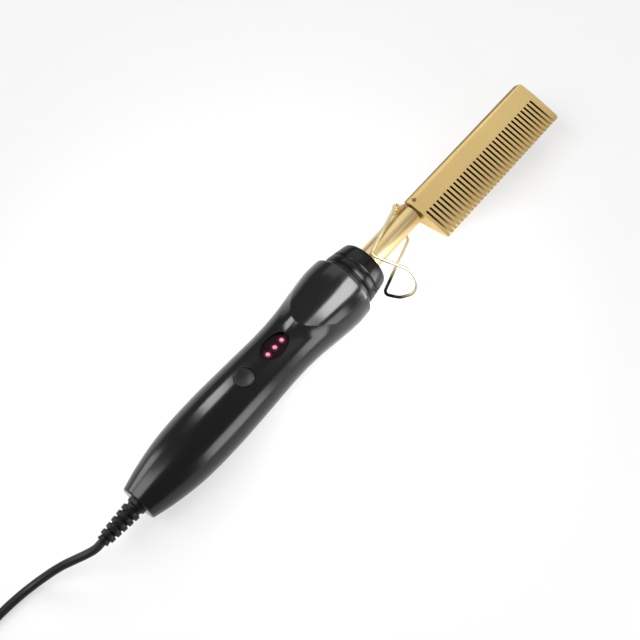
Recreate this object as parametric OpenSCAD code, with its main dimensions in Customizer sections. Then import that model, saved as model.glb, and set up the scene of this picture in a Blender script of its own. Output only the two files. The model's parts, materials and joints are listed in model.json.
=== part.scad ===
// Electric hot comb: a heated metal comb on a steel neck, with a moulded handle,
// a folding wire stand and a mains lead.  Millimetres.
// +X runs along the tool to the comb's far end, +Z is the side with the button and
// the lamps, and the teeth point to -Y.  The origin is on the rest flat under the
// handle, so the floor is the plane z = 0.

/* [Handle] */
// Length of the two moulded shells
handle_l = 138; // [133:1:143]
// Radius of the rear end of the handle
rear_r = 8.9; // [8.4:0.1:9.4]
// Radius of the grip at its fullest
belly_r = 15.1; // [14.6:0.1:15.6]
// Radius of the waist under the lamps
waist_r = 13.9; // [13.5:0.1:14.3]
// Radius of the front bulge
bulge_r = 17.4; // [16.9:0.1:17.9]
// Wall thickness of the shells
shell_wall = 2.2; // [2:0.1:2.6]
// Height of the axis over the flat that the tool rests on
axis_z = 15; // [14.8:0.05:15.05]
// How far the cowl over the front bulge stands above the waist where it starts
cowl_step = 1.1; // [0.7:0.1:1.3]

/* [Front collar] */
// Length of the collar in front of the shells
collar_l = 16.2; // [14.5:0.1:17.5]
// Radius of the collar beside the shells
collar_back_r = 14.9; // [14.5:0.1:15.2]
// Radius of the collar's front rim
collar_front_r = 12.5; // [12:0.1:13]

/* [Neck] */
// Radius of the neck tube
tube_r = 5.85; // [5.5:0.05:6.1]
// Wall thickness of the neck tube
tube_wall = 0.95; // [0.8:0.05:1.1]
// Free length of the neck tube between the collar and the comb
neck_l = 36.5; // [35:0.5:41]

/* [Comb head] */
// Length of the comb head
head_l = 95; // [90:0.5:100]
// Distance from the tube's axis to the spine
spine_y = 5.6; // [5.4:0.1:6]
// Distance from the tube's axis to the tooth tips
tip_y = 21.9; // [20:0.1:24]
// Distance from the tube's axis to the roots of the teeth
root_y = 6; // [5.6:0.1:7]
// Thickness of the spine
spine_t = 10.4; // [10:0.1:11.5]
// Thickness at the roots of the teeth
root_t = 8.2; // [8:0.1:9]
// Thickness at the tooth tips
tip_t = 1.3; // [1:0.1:2]
// Number of slots between the teeth
slot_n = 33; // [20:1:36]
// Width of one slot
slot_w = 1.2; // [1:0.05:1.35]
// Thickness of the solid tooth at the near end
end_tooth = 1.9; // [1.6:0.1:3]
// Thickness of the solid tooth at the far end
far_tooth = 4.4; // [3:0.1:5]

/* [Controls] */
// Distance from the front of the shells back to the button
button_back = 68.8; // [68:0.1:72]
// Radius of the button
button_r = 4.6; // [4:0.1:4.8]
// Travel of the button
button_travel = 0.8; // [0.5:0.1:0.9]
// Distance from the front of the shells back to the middle lamp
lamp_back = 48.4; // [47.8:0.1:49]
// Distance between lamps
lamp_pitch = 4.7; // [4.2:0.1:4.8]
// Radius of one lamp
lamp_r = 1.5; // [1.2:0.1:1.6]
// Length of the oval lamp window
window_l = 16.2; // [15.8:0.1:16.6]
// Width of the oval lamp window
window_w = 10.2; // [9.6:0.1:10.8]

/* [Stand] */
// Radius of the stand's wire
wire_r = 0.8; // [0.7:0.05:0.9]
// Radius of the bends in the wire
bend_r = 3; // [2.6:0.1:3.2]
// Distance from the tube's axis to the stand's pivot
pivot_y = 6.8; // [6.7:0.1:7.2]

/* [Lead] */
// Radius of the mains cord
cord_r = 2; // [1.8:0.05:2]
// Length of the strain relief behind the handle
boot_l = 21.5; // [20:0.5:26]
// Distance of the coil's middle turn from its centre
coil_r = 22; // [20:0.5:24]

/* [Hidden] */
$fn = 64;

fit = 0.05;            // radial clearance of a running or seated fit
snug = 0.02;           // radial clearance of a pressed or clamped fit
gap = 0.3;             // clearance between pieces that must not touch
eps = 0.01;
past = 1;              // how far a cut runs past what it cuts
reach = 60;            // more than any piece reaches from the axis
origin_x = handle_l - 12;              // from the rear of the handle to the origin
button_x = handle_l - button_back;
lamp_x = handle_l - lamp_back;

// ---------------------------------------------------------------- handle
// outline of the grip: distance from the rear end, radius.  The rear part keeps its
// place from the rear end and the waist and bulge keep theirs from the front end.
end_r = bulge_r - 0.2;
grip_rear = [12, 28, 48];              // from the rear end
grip_front = [68, 47, 33, 21, 9];      // back from the front end
grip = [[0, rear_r], [grip_rear[0], rear_r + 0.49 * (belly_r - rear_r)],
    [grip_rear[1], belly_r - 0.7], [grip_rear[2], belly_r],
    [handle_l - grip_front[0], belly_r - 0.5], [handle_l - grip_front[1], waist_r],
    [handle_l - grip_front[2], waist_r + 0.6], [handle_l - grip_front[3], bulge_r - 1.4],
    [handle_l - grip_front[4], bulge_r], [handle_l, end_r]];
smooth_n = 4;          // steps between two points of an outline

function spline_at(a, b, c, d, t) = 0.5 * (2 * b + (c - a) * t
    + (2 * a - 5 * b + 4 * c - d) * t * t + (3 * b - a - 3 * c + d) * t * t * t);
function smooth(p) = [for (i = [0 : len(p) - 2], k = [0 : smooth_n - 1])
        spline_at(p[max(i - 1, 0)], p[i], p[i + 1], p[min(i + 2, len(p) - 1)], k / smooth_n)];
function outline(p, inset) = [for (q = concat(smooth(p), [p[len(p) - 1]])) [q[1] - inset, q[0]]];

// turns a shape drawn round Z so that its axis is X, Z becoming X
module along_x() rotate([0, 90, 0]) rotate([0, 0, 180]) children();
// from the handle's own place (x from its rear, axis at 0) to the part's frame
module in_frame() translate([-origin_x, 0, axis_z]) children();
module rod_x(r, x0, x1) translate([x0, 0, 0]) rotate([0, 90, 0]) cylinder(r = r, h = x1 - x0);
module tube_x(r, ri, x0, x1) difference() {
    rod_x(r, x0, x1);
    rod_x(ri, x0 - past, x1 + past);
}
module round_z(r, x, y, z0, z1) translate([x, y, z0]) cylinder(r = r, h = z1 - z0);
module block(x0, x1, y0, y1, z0, z1) translate([x0, y0, z0]) cube([x1 - x0, y1 - y0, z1 - z0]);
// everything along the handle that lies under, or over, the height z
module under(z) block(-past, handle_l + past, -reach, reach, -reach, z);
module over(z) block(-past, handle_l + past, -reach, reach, z, reach);
// an oval, long way along X, standing on z0
oval_n = 48;
module oval_z(l, w, x, z0, z1) translate([x, 0, z0]) linear_extrude(z1 - z0)
    polygon([for (i = [0 : oval_n - 1]) let (a = 360 * i / oval_n) [l / 2 * cos(a), w / 2 * sin(a)]]);

module grip_solid(inset) along_x() rotate_extrude() polygon(
    concat([[0, 0]], outline(grip, inset), [[0, handle_l]]));

// the cowl: the bulge's full round, carried back over the waist to a U-shaped step
cowl_back = 33.8;              // from the front end back to the step, on top of the handle
cowl_x = handle_l - cowl_back;
cowl_root = 6;                 // how far the profile is carried back behind the step
cowl_nose_r = 9;               // plan radius of the U's end
cowl_skin = 0.02;              // how far the cowl stands off the bulge, so nothing is tangent
cowl_rise = [26, 16];          // two points of its profile, back from the front end
// one arm of the U in plan
arm_back = [17, 6];
arm_y = [15.2, 18.5];
cowl_arm = [[handle_l - arm_back[0], arm_y[0]], [handle_l - arm_back[1], arm_y[1]],
    [handle_l + past, arm_y[1]]];
function arc(c, r, a0, a1, n) = [for (i = [0 : n])
        let (a = a0 + (a1 - a0) * i / n) c + r * [cos(a), sin(a)]];
cowl_profile = [[cowl_x - cowl_root, waist_r + cowl_step + 0.1], [cowl_x, waist_r + cowl_step + 0.6],
    [handle_l - cowl_rise[0], bulge_r - 0.95], [handle_l - cowl_rise[1], bulge_r - 0.1],
    [handle_l - grip_front[4], bulge_r + cowl_skin], [handle_l, end_r + cowl_skin]];
module cowl_solid() intersection() {
    along_x() rotate_extrude() polygon(
        concat([[0, cowl_x - cowl_root]], outline(cowl_profile, 0), [[0, handle_l]]));
    linear_extrude(2 * reach, center = true) polygon(concat(
        arc([cowl_x + cowl_nose_r, 0], cowl_nose_r, 130, 230, 12),
        [for (p = cowl_arm) [p[0], -p[1]]], [for (i = [len(cowl_arm) - 1 : -1 : 0]) cowl_arm[i]]));
}

cavity_x0 = 3;                          // inner face of the handle's rear wall
floor_in = axis_z - shell_wall + 0.3;   // from the axis to the inside of the rest flat
module cavity() difference() {
    grip_solid(shell_wall);
    rod_x(reach, -past, cavity_x0);
    under(-floor_in);
}
module outer_form() difference() {
    union() {
        grip_solid(0);
        cowl_solid();
    }
    under(-axis_z);                     // the rest flat
}

rear_screw = [22, 6.8];                 // shell screws: from the rear end, from the middle
front_screw = [handle_l - grip_front[3], 9];
shell_screw_at = [for (p = [rear_screw, front_screw], s = [-1, 1]) [p[0], s * p[1]]];
thread = 0.15;                          // bite of a screw's thread, and play in a clear hole
screw_boss_r = 3.7;
screw_r = 1.2;
screw_head_r = 2.6;
screw_tip = 6.5;                        // how far the shell screws reach over the axis
board_z = 4.2;                          // underside of the circuit board
board_t = 1.6;
board_ends = [31, 30];                  // from the handle's rear and front ends
board_x = [board_ends[0], handle_l - board_ends[1]];
board_w = 15;
board_screw_in = 5.5;                   // from the board's ends
board_screw_x = [board_x[0] + board_screw_in, board_x[1] - board_screw_in];
board_screw_r = 1;
board_post_r = 2.6;
boot_flange_r = 6.4;
boot_neck_r = 4.7;
boot_play = 0.4;
collar_spigot_l = 5;
plate_x = handle_l - 11;                // lock plate on the neck tube
plate_t = 1.6;
plate_r = 10;
rib_t = 1.6;
rib_hole_r = 8.2;

// ribs that hold the lock plate
module cross_ribs() intersection() {
    difference() {
        for (x = [plate_x - rib_t - fit, plate_x + plate_t + fit]) rod_x(reach, x, x + rib_t);
        rod_x(rib_hole_r, plate_x - 2 * rib_t - past, plate_x + plate_t + 2 * rib_t + past);
    }
    cavity();
}
module button_hole() round_z(button_r + gap, button_x, 0, 0, reach);
module upper_shell() color("#232323") difference() {
    union() {
        difference() {
            outer_form();
            cavity();
            under(0);
            oval_z(window_l, window_w, lamp_x, board_z, reach);
            button_hole();
        }
        intersection() {
            union() {
                cavity();
                outer_form();
            }
            union() {
                difference() {
                    cross_ribs();
                    under(0);
                }
                for (p = shell_screw_at) round_z(screw_boss_r, p[0], p[1], 0, reach);
                for (x = board_screw_x) round_z(board_post_r, x, 0, board_z + board_t, reach);
            }
        }
    }
    for (p = shell_screw_at) round_z(screw_r - thread, p[0], p[1], -past, screw_tip + 1.5);
    for (x = board_screw_x) round_z(board_screw_r - thread, x, 0, 0, board_z + board_t + board_hold + 0.2);
    rod_x(boot_neck_r, -past, cavity_x0 + past);
    rod_x(boot_neck_r + boot_play, -past, boot_play);
}
module lower_shell() color("#1e1e1e") difference() {
    union() {
        difference() {
            outer_form();
            cavity();
            over(0);
        }
        intersection() {
            union() {
                cavity();
                outer_form();
            }
            union() {
                difference() {
                    cross_ribs();
                    over(0);
                }
                for (p = shell_screw_at) round_z(screw_boss_r, p[0], p[1], -reach, -eps);
                for (s = [-1, 1]) translate([0, s * clamp_y, 0])
                    block(clamp_x - 3.2, clamp_x + 3.2, -clamp_ear, clamp_ear, -reach, -clamp_seat);
            }
        }
    }
    for (p = shell_screw_at) {
        round_z(screw_r + thread, p[0], p[1], -reach, past);
        round_z(screw_head_r + thread, p[0], p[1], -reach, -head_seat);
    }
    for (s = [-1, 1]) round_z(clamp_screw_r - thread, clamp_x, s * clamp_y, -clamp_hold - 3, 0);
    rod_x(boot_neck_r, -past, cavity_x0 + past);
}
// four self-tapping screws, put in from below, that hold the shells together
head_seat = 7;         // from the axis to the seat of the screw heads
head_t = 1.8;
cross_slot = [3, 0.7, 2];
module shell_screws() color("silver") for (p = shell_screw_at) difference() {
    union() {
        round_z(screw_r - thread, p[0], p[1], -head_seat - eps, screw_tip);
        round_z(screw_head_r, p[0], p[1], -head_seat - head_t, -head_seat);
    }
    translate([p[0], p[1], -head_seat - head_t])
        for (a = [0, 90]) rotate([0, 0, a]) cube(cross_slot, center = true);
}

// ---------------------------------------------------------------- collar
collar_x = handle_l;
collar_end = handle_l + collar_l;
spigot_in_r = end_r - shell_wall - 0.25;            // collar's plug inside the shells
// outline of the collar with its two grooves: distance in front of the shells, depth
// under the radius beside the shells
collar_rings = [[eps, 0], [2.5, 0.15], [2.8, 0.9], [3.3, 0.9], [3.6, 0.4], [5.5, 0.45],
    [7.3, 0.7], [7.6, 1.4], [8, 1.4], [8.3, 0.9]];
rim = 0.9;             // length of the rounded rim at the collar's front
front_wall = 2;
bush_r = collar_front_r - 2.4;
bush_in = 3;           // how far the bush reaches back into the shells
module front_collar() color("#1c1c1c") difference() {
    along_x() rotate_extrude() polygon(concat(
        [[0, collar_x - collar_spigot_l], [spigot_in_r, collar_x - collar_spigot_l],
         [spigot_in_r, collar_x + eps]],
        [for (q = collar_rings) [collar_back_r - q[1], collar_x + q[0]]],
        [[collar_front_r + 0.3, collar_end - rim], [collar_front_r - 0.5, collar_end], [0, collar_end]]));
    rod_x(tube_r + fit, collar_x, collar_end + past);
    rod_x(bush_r, collar_x - collar_spigot_l - past, collar_end - front_wall);
    block(collar_x - collar_spigot_l - past, collar_x, -reach, reach, -reach, -floor_in + fit);
}
module insulator_bush() color("ivory")
    tube_x(bush_r - fit, tube_r + fit, collar_x - bush_in, collar_end - front_wall - fit);
module tube_lock_plate() color("silver")
    tube_x(plate_r, tube_r + snug, plate_x, plate_x + plate_t);

// ---------------------------------------------------------------- neck
tube_x0 = handle_l - 14;
head_gap = 1.6;        // between the tube's shoulder and the comb
head_x0 = collar_end + neck_l + head_gap;   // near end of the comb
spigot_l = 11;
spigot_r = 3.6;
spigot_wall = 1;
end_wall = 1.8;        // the tube's end, which carries the spigot
heater_r = 2.5;
sleeve_t = 0.7;
module neck_tube() color("#e2c07a") difference() {
    union() {
        rod_x(tube_r, tube_x0, head_x0 - head_gap);
        rod_x(spigot_r, head_x0 - head_gap - end_wall / 2, head_x0 + spigot_l);
    }
    rod_x(tube_r - tube_wall, tube_x0 - past, head_x0 - head_gap - end_wall);
    rod_x(spigot_r - spigot_wall, head_x0 - head_gap - end_wall - past, head_x0 + spigot_l + past);
}
module insulating_sleeve() color("white")
    tube_x(tube_r - tube_wall - fit, tube_r - tube_wall - fit - sleeve_t,
        tube_x0 - 2, head_x0 - head_gap - end_wall - 2 * fit);

// ---------------------------------------------------------------- comb head
slot_run = head_l - end_tooth - far_tooth - slot_w;      // first slot to last slot
slot_pitch = slot_run / (slot_n - 1);
corner_r = 3.6;        // plan radius at the spine's far end
far_slant = 0.9;       // how far the far end leans back at the tooth tips
near_nip = 0.8;        // plan chamfers at the tips of the two end teeth
far_nip = 1.2;
spine_crown = 1;       // chamfer along the spine: depth across and along the section
spine_chamfer = 1.9;
tip_edge = 0.3;
heater_end = 12;       // solid metal past the heater's bore
// half of the wedge: distance from the axis, half thickness, from the spine to the tips
wedge_side = [[spine_y, spine_t / 2 - spine_crown], [spine_y - spine_chamfer, spine_t / 2],
    [-root_y, root_t / 2], [tip_edge - tip_y, tip_t / 2], [-tip_y, tip_t / 2 - tip_edge]];
module wedge_section() polygon(concat(wedge_side,
    [for (i = [len(wedge_side) - 1 : -1 : 0]) [wedge_side[i][0], -wedge_side[i][1]]]));
module head_plan() polygon(concat(
    [[0, spine_y + past], [0, near_nip - tip_y], [near_nip, -tip_y - past],
     [head_l - far_slant - far_nip, -tip_y - past], [head_l - far_slant, far_nip - tip_y]],
    arc([head_l - corner_r, spine_y - corner_r], corner_r, 0, 90, 8),
    [[head_l - corner_r, spine_y + past]]));
module comb_head() color("#dabb76") translate([head_x0, 0, 0]) difference() {
    intersection() {
        rotate([90, 0, 90]) linear_extrude(head_l) wedge_section();
        linear_extrude(2 * reach, center = true) head_plan();
    }
    for (i = [0 : slot_n - 1]) translate([end_tooth + i * slot_pitch, 0, 0])
        block(0, slot_w, -tip_y - past, -root_y, -reach, reach);
    rod_x(spigot_r + fit, -past, spigot_l + head_gap);
    rod_x(heater_r + fit, -past, head_l - heater_end);
    round_z(grub_r + fit, grub_x, grub_y, 0, spine_t);
}
// a set screw in the comb's near end that grips the neck's spigot
grub_x = 3.2;
grub_y = 2.4;
grub_r = 1.15;
grub_sunk = 0.5;
grub_key = 0.65;
module head_screw() color("#57472a") translate([head_x0 + grub_x, grub_y, 0]) difference() {
    round_z(grub_r, 0, 0, sqrt(pow(spigot_r, 2) - pow(grub_y - grub_r, 2)) + snug, spine_t / 2 - grub_sunk);
    translate([0, 0, spine_t / 2 - grub_sunk - 0.8]) cylinder(r = grub_key, h = spine_t, $fn = 6);
}
// cartridge heater down the middle of the spine, sensor at its inner end
heater_x0 = head_x0 + 3;
sensor_r = 1.2;
sensor_l = 1.15;
heater_back = 1.4;     // from the sensor's seat to the heater
module heater_rod() color("white")
    rod_x(heater_r, heater_x0 + heater_back, head_x0 + head_l - heater_end - 0.5);
module thermistor() color("black")
    rod_x(sensor_r, heater_x0 + heater_back - fit - sensor_l, heater_x0 + heater_back - fit);
// a pair of insulated leads along the tool that turn up into the board at x
module lead_pair(r, y, x, x_end) for (s = [-1, 1]) translate([x, s * y, 0]) union() {
    if (x_end > x) rod_x(r, 0, x_end - x);
    else rod_x(r, x_end - x, 0);
    sphere(r = r + snug);
    round_z(r - snug, 0, 0, 0, board_z);
}
lead_r = 0.6;
lead_y = 1.9;
module heater_leads() color("red")
    lead_pair(lead_r, lead_y, board_x[1] - 1.5, heater_x0 + heater_back - fit);

// ---------------------------------------------------------------- stand
pivot_x = head_x0 - 5;
ear_z = 3.2;           // from the middle plane to the middle of each ear
ear_t = 1.2;
ear_r = 2;
saddle_w = 6;
saddle_t = 1;
leg_z = 7.4;           // from the middle plane to the stand's two legs
pin_in = 2.3;          // inner end of each pin, from the middle plane
// the bracket: a saddle on the tube with two ears for the wire's pins
module stand_bracket() color("#d8b96f") difference() {
    union() {
        intersection() {
            tube_x(tube_r + saddle_t + fit, tube_r + fit, pivot_x - saddle_w / 2, pivot_x + saddle_w / 2);
            block(pivot_x - saddle_w, pivot_x + saddle_w, saddle_y, reach, -reach, reach);
        }
        for (s = [-1, 1]) translate([pivot_x, 0, s * ear_z]) {
            block(-ear_r, ear_r, tube_r - saddle_t, pivot_y, -ear_t / 2, ear_t / 2);
            round_z(ear_r, 0, pivot_y, -ear_t / 2, ear_t / 2);
        }
    }
    round_z(wire_r + fit, pivot_x, pivot_y, -reach, reach);
    rod_x(tube_r + fit, pivot_x - saddle_w, pivot_x + saddle_w);
}
saddle_y = 3.2;        // how far round the tube the saddle reaches

function unit(v) = v / norm(v);
function turn(a, b, c) = acos(min(1, unit(b - a) * unit(c - b)));
function cut_back(a, b, c, r) = r * tan(turn(a, b, c) / 2);
lap = 0.02;            // how far a straight runs into the bends beside it
skin = 0.005;          // the bends are this much thicker, so no two surfaces are tangent
module straight(a, b, r) {
    d = b - a;
    translate(a) rotate([0, acos(d[2] / norm(d)), atan2(d[1], d[0])]) cylinder(r = r, h = norm(d));
}
module bend(a, b, c, big, r) {
    u = unit(b - a);
    v = unit(c - b);
    s = b - u * cut_back(a, b, c, big);
    m = b + unit(v - u) * big / cos(turn(a, b, c) / 2);
    x = unit(s - m);
    z = cross(x, u);
    multmatrix([for (k = [0 : 2]) [x[k], u[k], z[k], m[k]]])
        rotate_extrude(angle = turn(a, b, c)) translate([big, 0]) circle(r = r + skin);
}
// a wire through the points p, bent to radius b at each inner one
module bent_wire(p, b, r) {
    n = len(p);
    for (i = [0 : n - 2]) {
        u = unit(p[i + 1] - p[i]);
        a = i == 0 ? p[0] : p[i] + u * (cut_back(p[i - 1], p[i], p[i + 1], b[i]) - lap);
        c = i == n - 2 ? p[n - 1] : p[i + 1] - u * (cut_back(p[i], p[i + 1], p[i + 2], b[i + 1]) - lap);
        straight(a, c, r);
    }
    for (i = [1 : n - 2]) bend(p[i - 1], p[i], p[i + 1], b[i], r);
}
// the wire's corners, from the pivot: along X, along Y, and across
stand_path = [[0, 0, pin_in], [0, 0, leg_z - 0.2], [-30.8, -8, leg_z], [-23.6, -27.7, 5],
    [-27, -36.9, 0], [-34.2, -30, -4.5], [-36.5, -22, -leg_z], [-4.9, -12.6, -leg_z],
    [0, 0, 0.2 - leg_z], [0, 0, -pin_in]];
// bend radius at each corner; the two ends have none
stand_bends = [0, 2, bend_r, 10, 5.5, 8, bend_r, bend_r, 2, 0];
module wire_stand() color("#d9bd78") translate([pivot_x, pivot_y, 0])
    bent_wire(stand_path, stand_bends, wire_r);

// ---------------------------------------------------------------- controls
window_z = waist_r - 1.9;              // top of the window plate
window_lip_z = window_z - 2.8;         // underside of its lip, inside the shell
window_lip = 0.75;
lip_l = 1;             // how far the lip reaches past the plate, along and across
lip_w = 0.5;
lamp_up = 0.7;         // how far the lamps stand over the window
lamp_top = window_z + lamp_up;
lamps = [for (k = [-1 : 1]) lamp_x + k * lamp_pitch];
module led_window() color("#2a1018") difference() {
    union() {
        oval_z(window_l - 2 * window_play, window_w - 2 * window_play, lamp_x, window_lip_z, window_z);
        oval_z(window_l + 2 * lip_l, window_w + 2 * lip_w, lamp_x, window_lip_z, window_lip_z + window_lip);
    }
    for (x = lamps) round_z(lamp_r + window_play, x, 0, 0, reach);
}
window_play = 0.1;
module led_lamps() color("#ff4f9a") for (x = lamps) translate([x, 0, 0]) {
    round_z(lamp_r, 0, 0, board_z + board_t, lamp_top - lamp_r);
    translate([0, 0, lamp_top - lamp_r]) sphere(r = lamp_r);
}
module circuit_board() color("#1f5c33") difference() {
    block(board_x[0], board_x[1], -board_w / 2, board_w / 2, board_z, board_z + board_t);
    for (x = board_screw_x) round_z(board_screw_r + thread, x, 0, -reach, reach);
}
board_hold = 3.8;      // how far the board screws reach into their posts
board_head = [1.9, 1.3];
module board_screws() color("silver") for (x = board_screw_x) {
    round_z(board_screw_r - thread, x, 0, board_z - board_head[1] / 2, board_z + board_t + board_hold);
    round_z(board_head[0], x, 0, board_z - board_head[1], board_z);
}
switch_w = 6;
switch_h = 3.2;
switch_top = board_z + board_t + switch_h;
plunger_r = 1.5;
plunger_in = 0.6;      // how deep the plunger sits in the switch when the button is up
module tact_switch() color("#3a3a3a") difference() {
    block(button_x - switch_w / 2, button_x + switch_w / 2, -switch_w / 2, switch_w / 2,
        board_z + board_t, switch_top);
    round_z(plunger_r + fit, button_x, 0, switch_top - plunger_in - button_travel - gap, reach);
}
button_top = belly_r - 0.75;
button_flange = switch_top + button_travel + 0.1;
flange_t = 0.8;
flange_out = 1;        // how far the flange reaches past the button
dish_r = 23;           // the button's top is slightly hollow
dish = 0.4;
module switch_plunger() color("#8a2b2b")
    round_z(plunger_r, button_x, 0, switch_top - plunger_in, button_flange);
module power_button() color("#303030") difference() {
    union() {
        round_z(button_r, button_x, 0, button_flange, button_top);
        round_z(button_r + flange_out, button_x, 0, button_flange, button_flange + flange_t);
    }
    translate([button_x, 0, button_top + dish_r - dish]) sphere(r = dish_r, $fn = 96);
}
// what hangs under the board: distance from the board's rear end, length, width, height
triac_box = [10, 10, 10, 4.6];
capacitor_box = [23, 13, 8, 9];
fuse_box = [38, 12, 4, 4];
chip_box = [7, 4.8, 6, 1.5];           // on top of the board, its distance from the button
module box(b, x, z) translate([x + b[0], -b[2] / 2, z]) cube([b[1], b[2], b[3]]);
module triac() color("#181818") box(triac_box, board_x[0], board_z - triac_box[3]);
module film_capacitor() color("#b5882d") box(capacitor_box, board_x[0], board_z - capacitor_box[3]);
module fuse() color("#cfd6d8") box(fuse_box, board_x[0], board_z - fuse_box[3]);
module control_chip() color("#202020") box(chip_box, button_x, board_z + board_t);

// ---------------------------------------------------------------- lead
clamp_x = 13;
clamp_y = 5.4;         // from the middle to each clamp screw
clamp_seat = 1.6;      // from the axis down to the bar's seats
clamp_w = 5.2;
clamp_ear = 2;
clamp_t = 1.6;         // the bar's thickness over the cord
clamp_screw_r = 1;
clamp_hold = 6;        // how far the clamp screws reach under the axis
clamp_head = [1.8, 1.4];
rib_n = 5;             // ribs of the strain relief, spread evenly over its length
boot_root = 5;         // from the last rib's pitch line to the handle and to the mouth
rib_p = (boot_l - boot_root) / rib_n;
boot_r0 = 4.6;
boot_r1 = 3.3;
boot_flange_t = 1.8;
// one rib: distance along its pitch, depth under the rib's own radius
rib_shape = [[-2.6, 1.1], [-2.5, 0.1], [-0.4, 0], [0, 0.5], [0.1, 1.1]];
module cord_boot() color("#141414") difference() {
    along_x() rotate_extrude() polygon(concat(
        [[0, -boot_l], [boot_r1 - 0.4, -boot_l]],
        [for (i = [rib_n - 1 : -1 : 0], q = rib_shape)
            [boot_r0 + (boot_r1 - boot_r0) * i / rib_n - q[1], q[0] - 3.4 - i * rib_p]],
        [[boot_r0 - 1, -2.4], [boot_neck_r - fit, -1.4], [boot_neck_r - fit, cavity_x0 + fit],
         [boot_flange_r, cavity_x0 + fit], [boot_flange_r, cavity_x0 + boot_flange_t - 0.2],
         [cord_r + 1, cavity_x0 + boot_flange_t], [0, cavity_x0 + boot_flange_t]]));
    rod_x(cord_r + snug, -boot_l - past, cavity_x0 + boot_flange_t + past);
}
// the cord's inner end, held under a bar with two screws
module cord_clamp() color("#5a5a5a") difference() {
    block(clamp_x - clamp_w / 2, clamp_x + clamp_w / 2, -clamp_y - clamp_ear, clamp_y + clamp_ear,
        -clamp_seat, cord_r + clamp_t);
    rod_x(cord_r + snug, clamp_x - clamp_w, clamp_x + clamp_w);
    for (s = [-1, 1]) round_z(clamp_screw_r, clamp_x, s * clamp_y, -reach, reach);
}
module clamp_screws() color("silver") for (s = [-1, 1]) {
    round_z(clamp_screw_r - thread, clamp_x, s * clamp_y, -clamp_hold, cord_r + clamp_t);
    round_z(clamp_head[0], clamp_x, s * clamp_y, cord_r + clamp_t, cord_r + clamp_t + clamp_head[1]);
}
supply_r = 0.7;
supply_y = 1;
module supply_leads() color("saddlebrown") lead_pair(supply_r, supply_y, board_x[0] + 1.6, cord_in_x);

// the cord's route, from the boot's mouth to the coil: x from the handle's rear, y, and
// height over the floor
cord_in_x = 17;        // inner end of the cord, beyond its clamp
cord_route = [[cord_in_x, 0, axis_z], [0, 0, axis_z], [-12, 0, axis_z], [-22, 0, axis_z],
    [-25, 0, axis_z], [-29, 1.4, 14.4], [-34, 4.2, 12.4], [-40, 7.8, 9], [-47, 11, 5],
    [-54, 13.2, 2.6], [-61, 14.4, 2], [-70, 15, 2], [-90, 15, 2], [-114, 15, 2]];
coil_at = [-114, -11];          // the coil's centre, x from the handle's rear
coil_cols = 3;
coil_rows = 4;
coil_half = coil_cols * cord_r;
tail_route = [[-140, -11, 14], [-140, -20, 13], [-139, -30, 11], [-135, -41, 9],
    [-128, -50, 7.4], [-121, -53, 7], [-118, -53, 7]];

cord_sides = 10;
function ring(p, d, r) = let (n = unit(cross([0, 0, 1], d)), b = cross(d, n))
    [for (k = [0 : cord_sides - 1]) p + r * (cos(360 * k / cord_sides) * n + sin(360 * k / cord_sides) * b)];
function smooth3(p, n) = [for (i = [0 : len(p) - 2], k = [0 : n - 1])
    spline_at(p[max(i - 1, 0)], p[i], p[i + 1], p[min(i + 2, len(p) - 1)], k / n)];
module sweep(p, r) {
    n = len(p);
    pts = [for (i = [0 : n - 1]) each ring(p[i], unit(p[min(i + 1, n - 1)] - p[max(i - 1, 0)]), r)];
    polyhedron(pts, concat(
        [for (i = [0 : n - 2], k = [0 : cord_sides - 1])
            [i * cord_sides + k, i * cord_sides + (k + 1) % cord_sides,
             (i + 1) * cord_sides + (k + 1) % cord_sides, (i + 1) * cord_sides + k]],
        [[for (k = [cord_sides - 1 : -1 : 0]) k]],
        [[for (k = [0 : cord_sides - 1]) (n - 1) * cord_sides + k]]));
}
module on_floor() translate([-origin_x, 0, 0]) children();
module power_cord() color("#161616") on_floor()
    sweep(concat(smooth3(cord_route, 2), [cord_route[len(cord_route) - 1]]), cord_r);
module cord_tail() color("#161616") on_floor()
    sweep(concat(smooth3(tail_route, 2), [tail_route[len(tail_route) - 1]]), cord_r);
tie_w = 6;
tie_t = 0.8;
tie_bite = 0.4;        // how far the tie presses into the coil
coil_h = coil_rows * 2 * cord_r;
// a rectangle round the origin with its corners cut off
module chamfered(w, h, c) polygon([for (q = [[1, 1, 0], [1, 1, 1], [-1, 1, 1], [-1, 1, 0],
        [-1, -1, 0], [-1, -1, 1], [1, -1, 1], [1, -1, 0]])
    [q[0] * (w / 2 - (q[2] == 1 ? c : 0)), q[1] * (h / 2 - (q[2] == 0 ? c : 0))]]);
module cord_coil() color("#161616") on_floor() translate(coil_at) difference() {
    rotate_extrude() translate([coil_r, coil_h / 2]) chamfered(2 * coil_half, coil_h, cord_r / 2);
    tie_room(tie_w + 2 * fit, fit);
}
tie_turn = 30;
module tie_room(w, more) rotate([0, 0, tie_turn]) difference() {
    block(coil_r - coil_half - tie_t, coil_r + coil_half + tie_t, -w / 2, w / 2, -eps, coil_h + tie_t);
    block(coil_r - coil_half + more + tie_bite, coil_r + coil_half - more - tie_bite, -w, w,
        tie_t + more, coil_h - more - tie_bite);
}
module cord_tie() color("#3c3c3c") on_floor() translate(coil_at) rotate([0, 0, tie_turn]) difference() {
    block(coil_r - coil_half - tie_t, coil_r + coil_half + tie_t, -tie_w / 2, tie_w / 2,
        0, coil_h + tie_t);
    block(coil_r - coil_half + fit + tie_bite, coil_r + coil_half - fit - tie_bite, -tie_w, tie_w,
        tie_t, coil_h - fit - tie_bite);
}
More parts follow.
